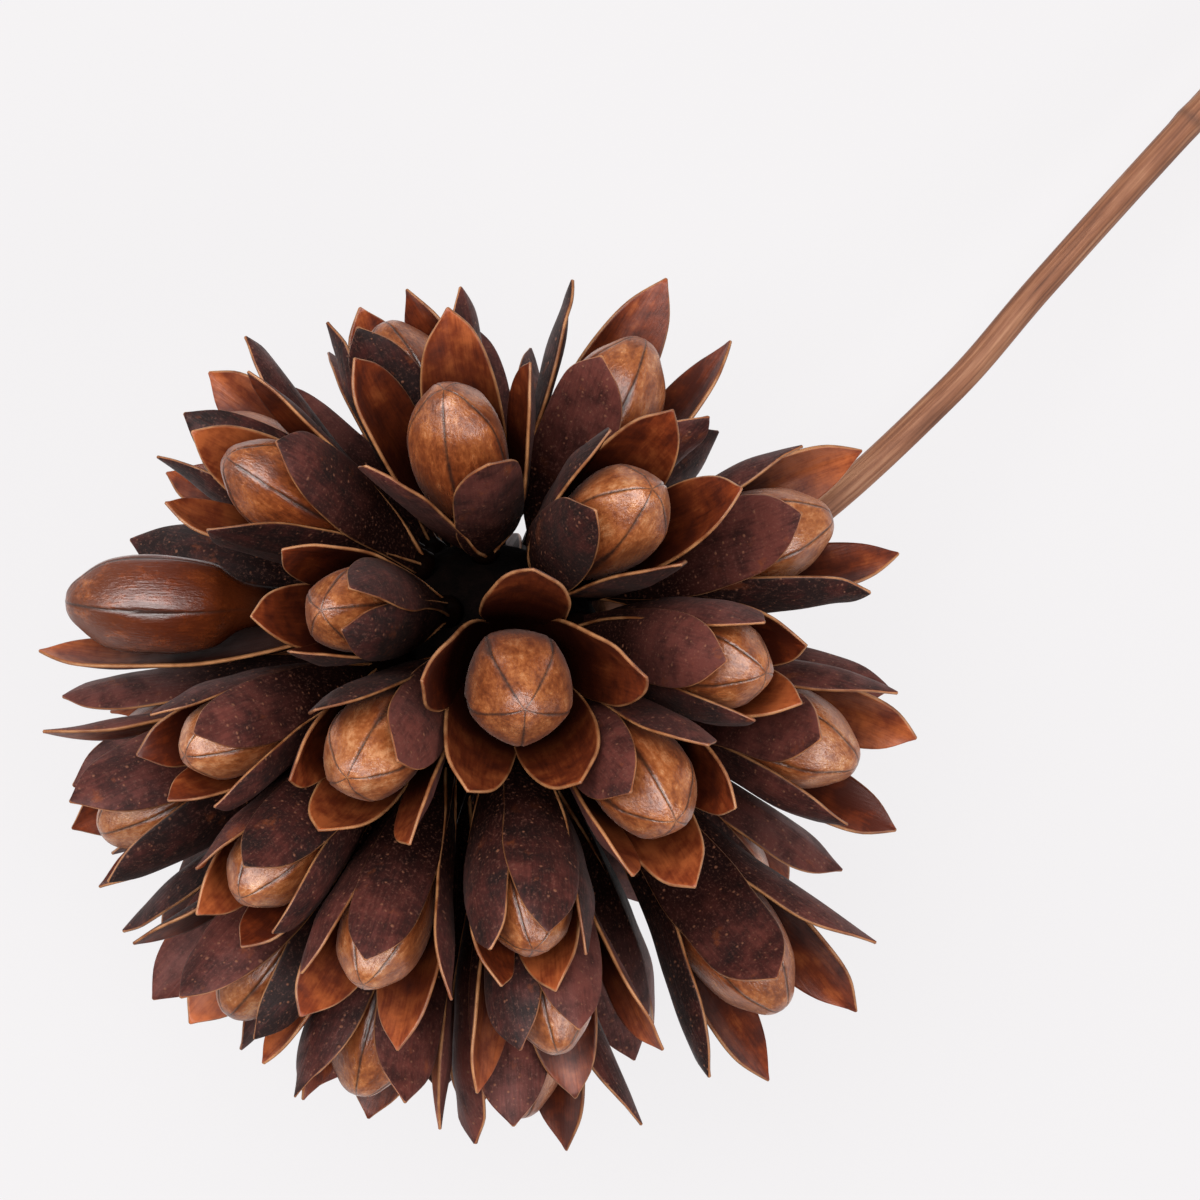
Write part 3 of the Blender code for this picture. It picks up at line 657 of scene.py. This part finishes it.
def add_capsule(shape, pod, tone, rng):
    """A closed capsule with rounded faces between five seams that meet in a star, on its foot."""
    depth, radius, foot = capsule_profile(pod)
    length = CAPSULE_LENGTH * pod.size
    shares = np.array([*CAPSULE_COLUMNS, *(1 - c for c in CAPSULE_COLUMNS[-2:0:-1])])
    angle = np.concatenate([(k + shares) * math.tau / SEAMS for k in range(SEAMS)])[None]
    apart = np.tile(np.minimum(shares, 1 - shares) * math.tau / SEAMS, SEAMS)[None]
    half_turn = math.pi / SEAMS
    polygon = math.cos(half_turn) / np.cos(half_turn - apart)
    body = np.clip((NECK_DEPTH - depth) / NECK_FADE, 0, 1)
    flat = 1 - (1 - FACE_FLATNESS) / (1 - math.cos(half_turn)) * (1 - polygon) * body
    beside = apart * radius

    eye_at = EYE_DEPTH + np.repeat(rng.uniform(*EYE_SHIFT, SEAMS), len(shares))[None]
    eye_size = np.repeat(rng.uniform(*EYE_SIZE, SEAMS), len(shares))[None]
    eye = np.exp(-(((depth - eye_at) / EYE_LENGTH) ** 2)) * eye_size
    half_width = SEAM_HALF_WIDTH * (1 + EYE_WIDENING * eye) * np.clip(radius / SEAM_FULL, SEAM_LEAST, 1)
    groove = np.exp(-((beside / half_width) ** 2)) * body
    lips = np.exp(-(((beside - LIP_PLACE * half_width) / (LIP_WIDTH * half_width)) ** 2)) * body
    dent = SEAM_DEPTH * (1 + EYE_DEEPENING * eye) * groove - LIP_HEIGHT * SEAM_DEPTH * lips
    swell = np.sin(angle * SWELL_WAVES[0] + rng.uniform(*PHASE))
    swell = 1 + SWELL * swell * np.sin(depth * SWELL_WAVES[1] + rng.uniform(*PHASE))
    surface = radius * flat * swell - dent * np.clip(radius / SEAM_FADE, 0, 1)
    along = (pod.length - depth * length)[..., None]
    points = HEART + pod.axis * along + pod.out(angle[0])[None] * surface[..., None]

    shift = rng.uniform(*GRAIN_SHIFT)
    aside, down = surface / MM, depth * length / MM
    grain = np.stack(np.broadcast_arrays(
        aside * np.cos(angle) + shift, aside * np.sin(angle) - shift, down + shift), axis=-1)
    edge = np.clip(np.exp(-((beside / (SEAM_STAIN * half_width)) ** 2)) * body, 0, 1)
    shade = np.exp(-((beside / SEAM_SHADE) ** 2)) * body
    tissue = np.clip(lips * (eye - TISSUE_FROM) / TISSUE_RISE, 0, 1)
    near = (shade + tissue) / 2  # up to a half for the painted shade beside a seam, and more on an eye's pale tissue
    numbers = shape.add(points, grain, edge, depth, tone, near)
    middle = [(shift, -shift, shift)]
    tip = shape.add([pod.place(0, 0, pod.length)], middle, STAR_STAIN, 0.0, tone)[0]
    root = shape.add([pod.place(0, 0, pod.foot_along(0, 0))], middle, 0.0, foot, tone)[0]
    shape.grid(numbers, CAPSULE, closed=True, flip=True)
    shape.fan(numbers[0], tip, CAPSULE)
    shape.fan(numbers[-1], root, CAPSULE, flip=True)


def fine_ribs(pod, opening, stretch):
    """The model's stations with more between them.

    With them the bracts close to a cup below and round off above.
    """
    root, low, high, tip = np.array(bract_ribs(pod, opening, stretch))
    shut = math.tan(math.pi / SEAMS)
    root[2] = pod.foot_radius() * shut
    low[2] = (low[1] - low[3]) * shut * CUP_OVERLAP
    cup = (root + low) / 2
    cup[1] += CUP_BULGE * pod.size
    cup[2] = cup[1] * shut * CUP_OVERLAP
    middle = (low + high) / 2
    middle[2] = BRACT_WIDTH / 2 * pod.size * MIDDLE_WIDTH
    near_tip = high + NEAR_TIP * (tip - high)
    near_tip[2] = high[2] * NEAR_TIP_WIDTH
    tip[2] = TIP_WIDTH
    return [root, cup, low, middle, high, near_tip, tip]


def add_bract(shape, pod, index, rng):
    """A boat-shaped bract with a keel, a pointed and slightly hooked tip and a rounded pale rim."""
    opening, turn, stretch, bend = pod.bracts[index]
    angle = (index + 0.5) * math.tau / SEAMS + turn
    out = math.cos(angle) * pod.seam + math.sin(angle) * pod.across
    side = np.cross(pod.axis, out)
    fine = through(fine_ribs(pod, opening, stretch), FINE_STEPS)
    share, even = np.linspace(0, 1, BRACT_ROWS + 1) ** ROW_CROWDING, np.linspace(0, 1, len(fine))
    depth, distance, width, turned = (np.interp(share, even, column) for column in fine.T)
    width = width * (1 + EDGE_WAVE * np.sin(share * rng.uniform(*EDGE_WAVES) + rng.uniform(*PHASE)))
    hooked = np.clip((share - HOOK_FROM) / (1 - HOOK_FROM), 0, 1) ** 2
    distance = distance + rng.normal(*HOOK) * MM * hooked
    u, c = share[:, None], np.array(BRACT_COLUMNS)[None]
    lean = (bend * MM * share**2)[:, None]
    wave = np.sin(u * rng.uniform(*RIPPLE_WAVES) + c * RIPPLE_SLANT + rng.uniform(*PHASE))
    taper = np.clip(width / TAPER_WIDTH, 0, 1)[:, None]
    ripple = rng.uniform(*RIPPLE) * MM * wave * c**2 * u * taper
    keel = rng.uniform(*KEEL) * MM * np.exp(-((c / KEEL_WIDTH) ** 2)) * np.sin(math.pi * u)
    twist = rng.normal(0, TWIST) * MM * c * u**2 * taper
    inward = (turned[:, None] + HOLLOW * u * (1 - u)) * c**2
    lift = -inward + ripple + keel + twist
    middle = HEART + pod.axis * (pod.length - depth)[:, None] + out * distance[:, None]
    surface = middle[:, None] + side * (c * width[:, None] + lean)[..., None] + out * lift[..., None]
    run = np.gradient(surface, axis=0)
    slope = -2 * turned[:, None] * c
    cross = side * np.maximum(width, LEAST_WIDTH)[:, None, None] + out * slope[..., None]
    normal = np.cross(run, cross)
    normal /= np.linalg.norm(normal, axis=2, keepdims=True)
    normal *= np.sign((normal * out).sum(axis=2))[..., None].clip(-1, 1)
    thinning = (FULL_THICKNESS - EDGE_THINNING * c**2) * (1 - TIP_THINNING * u**4)
    thick = (BRACT_THICKNESS * thinning * pod.size / 2)[..., None]
    shift, tone = rng.uniform(*GRAIN_SHIFT), rng.uniform(0, 1)
    travel = np.r_[0, np.cumsum(np.linalg.norm(np.diff(middle, axis=0), axis=1))] / MM
    grain = np.stack(np.broadcast_arrays(c * width[:, None] / MM, travel[:, None], shift), axis=-1)
    rim = np.zeros(surface.shape[:2])
    rim[:, 0] = rim[:, -1] = rim[-1] = RIM_SHARE
    outer = shape.add(surface + normal * thick, grain, rim, u, tone)
    inner = shape.add(surface - normal * thick, grain, rim, u, tone)
    shape.grid(outer, OUTER)
    shape.grid(inner, INNER, flip=True)
    shape.quads(outer[0, :-1], inner[0, :-1], inner[0, 1:], outer[0, 1:], INNER)
    add_rim(shape, surface, grain, thick, side, u, tone, outer, inner)


def add_rim(shape, surface, grain, thick, side, u, tone, outer, inner):
    """The rounded cut edge, up one side, over the tip and down the other."""
    rows, columns = outer.shape
    path = [(r, 0) for r in range(rows)] + [(rows - 1, k) for k in range(1, columns)]
    path += [(r, columns - 1) for r in range(rows - 2, -1, -1)]
    push = []
    for r, k in path:
        away = side * (-1 if k == 0 else 1 if k == columns - 1 else 0)
        if r == rows - 1:
            away = away + unit(surface[-1, columns // 2] - surface[-3, columns // 2])
        push.append(unit(away))
    row, column = np.array(path).T
    middle = surface[row, column] + np.array(push) * thick[row, column] * RIM_BULGE
    numbers = shape.add(middle, grain[row, column], 1.0, u[row, 0], tone)
    first, second = outer[row, column], inner[row, column]
    shape.quads(first[:-1], first[1:], numbers[1:], numbers[:-1], INNER)
    shape.quads(numbers[:-1], numbers[1:], second[1:], second[:-1], INNER)


class Nodes:
    """Short calls for building one material's nodes."""

    def __init__(self, name):
        self.material = bpy.data.materials.new(name)
        self.material.use_nodes = True
        self.tree = self.material.node_tree
        self.shader = self.tree.nodes["Principled BSDF"]

    def link(self, value, socket):
        if isinstance(value, bpy.types.NodeSocket):
            self.tree.links.new(value, socket)
        else:
            socket.default_value = value

    def put(self, **values):
        """Values or node outputs for the shader's inputs, with their blanks written as underscores."""
        for name, value in values.items():
            self.link(value, self.shader.inputs[name.replace("_", " ")])

    def attribute(self, name, output="Fac"):
        node = self.tree.nodes.new("ShaderNodeAttribute")
        node.attribute_name = name
        return node.outputs[output]

    def grain(self, stretch=(1, 1, 1)):
        node = self.tree.nodes.new("ShaderNodeVectorMath")
        node.operation = "MULTIPLY"
        self.link(self.attribute("grain", "Vector"), node.inputs[0])
        node.inputs[1].default_value = stretch
        return node.outputs[0]

    def noise(self, vector, scale, detail, roughness=0.55):
        node = self.tree.nodes.new("ShaderNodeTexNoise")
        self.link(vector, node.inputs["Vector"])
        node.inputs["Scale"].default_value = scale
        node.inputs["Detail"].default_value = detail
        node.inputs["Roughness"].default_value = roughness
        return node.outputs["Fac"]

    def cells(self, vector, scale):
        node = self.tree.nodes.new("ShaderNodeTexVoronoi")
        self.link(vector, node.inputs["Vector"])
        node.inputs["Scale"].default_value = scale
        return node.outputs["Distance"], node.outputs["Color"]

    def ramp(self, value, *stops):
        """Stops are (place, colour or grey)."""
        node = self.tree.nodes.new("ShaderNodeValToRGB")
        self.link(value, node.inputs[0])
        elements = node.color_ramp.elements
        while len(elements) < len(stops):
            elements.new(0.5)
        for element, (place, colour) in zip(elements, stops):
            element.position = place
            grey = isinstance(colour, (int, float))
            element.color = (colour, colour, colour, 1) if grey else (*colour, 1)
        return node.outputs[0]

    def along(self, *stops):
        """A value that changes from a capsule's tip, or a bract's root, to its other end."""
        return self.ramp(self.attribute("along"), *stops)

    def mix(self, share, first, second, blend="MIX"):
        node = self.tree.nodes.new("ShaderNodeMix")
        node.data_type = "RGBA"
        node.blend_type = blend
        self.link(share, node.inputs[0])
        for value, socket in ((first, node.inputs[6]), (second, node.inputs[7])):
            self.link((*value, 1) if isinstance(value, tuple) else value, socket)
        return node.outputs[2]

    def maths(self, operation, *values):
        node = self.tree.nodes.new("ShaderNodeMath")
        node.operation = operation
        for value, socket in zip(values, node.inputs):
            self.link(value, socket)
        return node.outputs[0]

    def total(self, *terms):
        """The sum of values, each with its weight."""
        (value, weight), *rest = terms
        made = self.maths("MULTIPLY", value, weight)
        for value, weight in rest:
            made = self.maths("MULTIPLY_ADD", value, weight, made)
        return made

    def bump(self, height, distance, strength):
        node = self.tree.nodes.new("ShaderNodeBump")
        node.inputs["Strength"].default_value = strength
        node.inputs["Distance"].default_value = distance
        self.link(height, node.inputs["Height"])
        return node.outputs[0]


def pale_rim(n, colour):
    """The thin tan line along a bract's cut edge, worn darker in places."""
    rim = n.ramp(n.attribute("edge"), (0.50, 0.0), (0.90, 1.0))
    slow = n.noise(n.grain((0.3, 0.3, 1)), 1.0, 2.0)
    return n.mix(rim, colour, n.ramp(slow, *RIM_WOOD))


def capsule_material():
    """Tan satin wood in mottled blotches, redder down in its cup, with dark seams. Painted shade
    darkens the wood beside the seams, down in the cup and, near black, on the foot.
    """
    n = Nodes("capsule_wood")
    blotch = n.noise(n.grain((1, 1, 0.62)), 0.46, 6.0, 0.62)
    streak = n.noise(n.grain((2.2, 2.2, 0.35)), 0.8, 4.0)
    fleck = n.noise(n.grain((1, 1, 0.8)), 2.2, 3.0, 0.6)
    tone, near = n.attribute("tone"), n.attribute("near")
    # the negative weight on near is painted shade beside the seams
    mixed = n.total((blotch, 0.54), (streak, 0.24), (fleck, 0.22), (tone, 0.13), (near, -0.07))
    wood = n.ramp(mixed, *CAPSULE_WOOD)
    wood = n.mix(n.along((0.08, 0.0), (0.48, 0.8)), wood, CAPSULE_REDDENED, "MULTIPLY")
    # painted shade: the wood darkens down the capsule toward the heart, where shade falls between the
    # pods
    wood = n.mix(n.along((0.30, 0.0), (0.85, 0.92)), wood, CAPSULE_DEEP_SHADE)
    # painted shade: the foot goes near black where it meets the receptacle
    wood = n.mix(n.along((0.78, 0.0), (0.95, 1.0)), wood, CAPSULE_FOOT_SHADE)
    wood = n.mix(n.ramp(near, (0.55, 0.0), (0.90, 0.6)), wood, EYE_TISSUE)
    seam = n.maths("MULTIPLY", n.attribute("edge"), n.ramp(fleck, (0.30, 0.98), (0.70, 0.70)))
    fine = n.noise(n.grain((3, 3, 1.2)), 1.4, 4.0)
    fibre = n.noise(n.grain((3.4, 3.4, 0.30)), 1.0, 3.0)
    height = n.total((fine, 0.4), (blotch, 0.6), (fibre, 0.8))
    n.put(
        Base_Color=n.mix(seam, wood, SEAM_DARK),
        Normal=n.bump(height, 0.16 * MM, 0.6),
        Roughness=n.ramp(blotch, (0.35, 0.36), (0.65, 0.25)),
        Specular_IOR_Level=n.along((0.55, 0.80), (0.80, 0.03)),
        Sheen_Weight=n.along((0.50, 0.09), (0.72, 0.0)),
        Sheen_Roughness=0.4,
        Sheen_Tint=CAPSULE_SHEEN,
    )
    return n.material


def outer_material():
    """Deep red-brown backs, with painted shade near black at the root, fine pale specks and worn
    patches.
    """
    n = Nodes("bract_back")
    blotch = n.noise(n.grain(), 0.32, 5.0, 0.6)
    streak = n.noise(n.grain((3.2, 0.3, 1)), 1.0, 4.0)
    mixed = n.total((blotch, 0.62), (streak, 0.26), (n.attribute("tone"), 0.26))
    worn = n.noise(n.grain((1, 0.7, 1)), 0.21, 5.0, 0.65)
    skin = n.mix(n.ramp(worn, (0.62, 0.0), (0.70, 0.75)), n.ramp(mixed, *BACK_SKIN), BACK_WORN)
    # painted shade: the back goes near black toward its root
    skin = n.mix(n.along((0.28, 0.95), (0.68, 0.0)), skin, BACK_DEEP_SHADE)
    near, pick = n.cells(n.grain(), 1.25)
    spot = n.ramp(n.total((near, 1.0), (pick, 0.42)), (0.20, 1.0), (0.36, 0.0))
    skin = n.mix(n.maths("MULTIPLY", spot, 0.7), skin, BACK_SPECK)
    dust = n.noise(n.grain((1, 0.7, 1)), 3.2, 3.0, 0.7)
    skin = n.mix(n.ramp(dust, (0.54, 0.0), (0.74, 0.45)), skin, BACK_DUST)
    height = n.total((blotch, 1.0), (streak, 0.7), (spot, 0.4))
    n.put(
        Base_Color=pale_rim(n, skin),
        Normal=n.bump(height, 0.16 * MM, 0.7),
        Roughness=n.ramp(blotch, (0.3, 0.66), (0.7, 0.50)),
        Specular_IOR_Level=n.along((0.30, 0.03), (0.65, 0.24)),
        Sheen_Weight=n.along((0.30, 0.0), (0.60, 0.035)),
        Sheen_Roughness=0.5,
        Sheen_Tint=BACK_SHEEN,
    )
    return n.material


def inner_material():
    """Satin orange-brown faces, darker down inside with painted shade, with a pale rim."""
    n = Nodes("bract_face")
    blotch = n.noise(n.grain(), 0.30, 5.0, 0.6)
    streak = n.noise(n.grain((3.0, 0.26, 1)), 1.0, 4.0)
    mixed = n.total((blotch, 0.62), (streak, 0.22), (n.attribute("tone"), 0.22))
    # painted shade: the face darkens from the tip down toward the root
    skin = n.mix(n.along((0.45, 0.98), (0.72, 0.50), (0.95, 0.0)), n.ramp(mixed, *FACE_SKIN), FACE_DEEP_SHADE)
    n.put(
        Base_Color=pale_rim(n, skin),
        Normal=n.bump(n.total((blotch, 1.0), (streak, 0.5)), 0.14 * MM, 0.6),
        Roughness=n.ramp(blotch, (0.3, 0.50), (0.7, 0.36)),
        Specular_IOR_Level=n.along((0.45, 0.05), (0.85, 0.42)),
    )
    return n.material


def bark_material():
    """Reddish brown bark with long pale streaks and darker scars."""
    n = Nodes("stem_bark")
    streak = n.noise(n.grain((2.2, 0.06, 1)), 1.0, 5.0)
    blotch = n.noise(n.grain((1, 0.3, 1)), 0.25, 3.0)
    bark = n.ramp(n.total((streak, 0.6), (blotch, 0.4)), *BARK)
    n.put(
        Base_Color=n.mix(n.ramp(n.attribute("edge"), (0.3, 0.0), (0.8, 0.8)), bark, BARK_SCAR),
        Normal=n.bump(streak, 0.25 * MM, 0.7),
        Roughness=n.ramp(streak, (0.3, 0.7), (0.7, 0.5)),
    )
    return n.material


def core_material():
    """Rough wood of the receptacle, painted near black as the shade deep between the pods."""
    n = Nodes("core_painted_shade")
    rough = n.noise(n.grain(), 0.5, 5.0)
    n.put(
        # painted shade, near black
        Base_Color=n.ramp(rough, *CORE_PAINTED_SHADE),
        Normal=n.bump(rough, 0.5 * MM, 0.8),
        Roughness=n.ramp(rough, (0.3, 0.95), (0.7, 0.8)),
        Specular_IOR_Level=0.03,
    )
    return n.material


def above_table(obj):
    """Whatever would reach below the table is worn flat on it."""
    mesh = obj.data
    places = np.empty(len(mesh.vertices) * 3)
    mesh.vertices.foreach_get("co", places)
    places[2::3] = np.maximum(places[2::3], 0.0)
    mesh.vertices.foreach_set("co", places)
    mesh.update()


def pod_pieces(pods):
    materials = [capsule_material(), outer_material(), inner_material()]
    for number, pod in enumerate(pods, 1):
        rng = np.random.default_rng([LOOK_SEED, number])
        shape = Shape()
        add_capsule(shape, pod, CAPSULE_TONES.get(number, rng.uniform(*CAPSULE_TONE)), rng)
        for index in range(SEAMS):
            if pod.bracts[index]:
                add_bract(shape, pod, index, rng)
        node = f"pod_{number:02d}"
        piece = shape.build(node + "_grown", materials)
        above_table(piece)
        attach(piece, "root")
        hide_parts(node)


def stem_piece():
    """The stem with its grain, leaf scars and slanting cut end."""
    line = stem_curve(FINE_STEPS)
    reach = RECEPTACLE_RADIUS + CLEARANCE + STEM_END_GAP
    line = line[np.linalg.norm(line - RECEPTACLE_CENTRE, axis=1) > reach]
    run = np.gradient(line, axis=0)
    run /= np.linalg.norm(run, axis=1, keepdims=True)
    side = np.cross(run, [0, 0, 1.0])
    side /= np.linalg.norm(side, axis=1, keepdims=True)
    up = np.cross(side, run)
    travel = np.r_[0, np.cumsum(np.linalg.norm(np.diff(line, axis=0), axis=1))][:, None]
    angle = (np.arange(STEM_SIDES) * math.tau / STEM_SIDES)[None]
    rings = (travel - place * MM + SCAR_SLANT * np.sin(angle + place) for place in STEM_SCARS)
    scars = sum(np.exp(-((ring / SCAR_WIDTH) ** 2)) for ring in rings)
    ridges = sum(height * np.sin(k * angle + twist * travel) for height, k, twist in STEM_RIDGES)
    radius = STEM_RADIUS * (STEM_FINE_RADIUS + ridges + SCAR_HEIGHT * scars)
    points = line[:, None] + radius[..., None] * (
        np.cos(angle)[..., None] * side[:, None] + np.sin(angle)[..., None] * up[:, None]
    )
    shape = Shape()
    grain = np.stack(np.broadcast_arrays(angle * STEM_RADIUS / MM, travel / MM, 3.0), axis=-1)
    numbers = shape.add(points, grain, np.clip(scars, 0, 1) * SCAR_STAIN, 0.0, 0.5)
    ends = shape.add(line[[0, -1]], [(0, 0, 5.0), (0, 0, 9.0)], 0.0, 0.0, 0.5)
    shape.grid(numbers, 0, closed=True)
    shape.fan(numbers[0], ends[0], 0, flip=True)
    shape.fan(numbers[-1], ends[1], 0)
    piece = shape.build("stem_bark", [bark_material()])
    above_table(piece)
    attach(piece, "root")
    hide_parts("stem")


def receptacle_piece():
    """A knobbly core."""
    bpy.ops.mesh.primitive_ico_sphere_add(subdivisions=5, radius=RECEPTACLE_RADIUS, location=(0, 0, 0))
    piece = bpy.context.object
    piece.name = "receptacle_core"
    mesh = piece.data
    rng = np.random.default_rng(LOOK_SEED)
    places = np.empty(len(mesh.vertices) * 3)
    mesh.vertices.foreach_get("co", places)
    places = places.reshape(-1, 3)
    lumps = sum(
        np.sin(places @ unit(rng.normal(size=3)) / (rng.uniform(*LUMP_SIZE) * MM) + rng.uniform(*PHASE))
        for _ in range(CORE_LUMPS)
    )
    grain = mesh.attributes.new("grain", "FLOAT_VECTOR", "POINT")
    grain.data.foreach_set("vector", (places / MM).ravel())
    places = places * (1 - CORE_SINK + CORE_LUMP * lumps[:, None]) + RECEPTACLE_CENTRE
    mesh.vertices.foreach_set("co", places.ravel())
    mesh.shade_smooth()
    mesh.materials.append(core_material())
    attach(piece, "root")
    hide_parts("receptacle")


def floor():
    bpy.ops.mesh.primitive_plane_add(size=FLOOR_SIZE, location=(0, 0, 0))
    plane = bpy.context.object
    plane.name = "floor"
    n = Nodes("floor_paper")
    n.put(Base_Color=FLOOR_COLOUR, Roughness=0.9, Specular_IOR_Level=0.1)
    n.put(Emission_Color=FLOOR_GLOW_COLOUR, Emission_Strength=FLOOR_GLOW)
    plane.data.materials.append(n.material)


def camera():
    """Straight above, turned so that the stem leaves at the upper right."""
    data = bpy.data.cameras.new("camera")
    obj = bpy.data.objects.new("camera", data)
    bpy.context.scene.collection.objects.link(obj)
    middle = at_pixel(FRAME_PIXELS / 2, FRAME_PIXELS / 2, 0.0)
    obj.location = (middle[0], middle[1], HEAD_HEIGHT + VIEW_DISTANCE)
    obj.rotation_euler = (0, 0, -VIEW_TURN)
    data.angle = 2 * math.atan(FRAME_PIXELS / 2 * PIXEL / VIEW_DISTANCE)
    data.clip_start = CLIP_START
    bpy.context.scene.camera = obj


def area_light(name, place, size, power):
    """A square light that faces the middle of the head."""
    data = bpy.data.lights.new(name, "AREA")
    data.size = size
    data.energy = power
    obj = bpy.data.objects.new(name, data)
    bpy.context.scene.collection.objects.link(obj)
    obj.location = place
    obj.rotation_mode = "QUATERNION"
    obj.rotation_quaternion = Vector(MIDDLE - place).to_track_quat("-Z", "Y")


def light():
    """Broad light from above, weak fills from the sides and a pale surrounding."""
    world = bpy.data.worlds.new("studio")
    bpy.context.scene.world = world
    world.use_nodes = True
    back = world.node_tree.nodes["Background"]
    back.inputs["Color"].default_value = (1, 1, 1, 1)
    back.inputs["Strength"].default_value = WORLD_STRENGTH
    for name, place, size, power in LIGHTS:
        area_light(name, to_world(*place), size, power)
    bpy.context.scene.view_settings.view_transform = "Standard"


camera()
floor()
light()
pods = layout(stem_curve(MODEL_STEM_STEPS))
pod_pieces(pods)
stem_piece()
receptacle_piece()
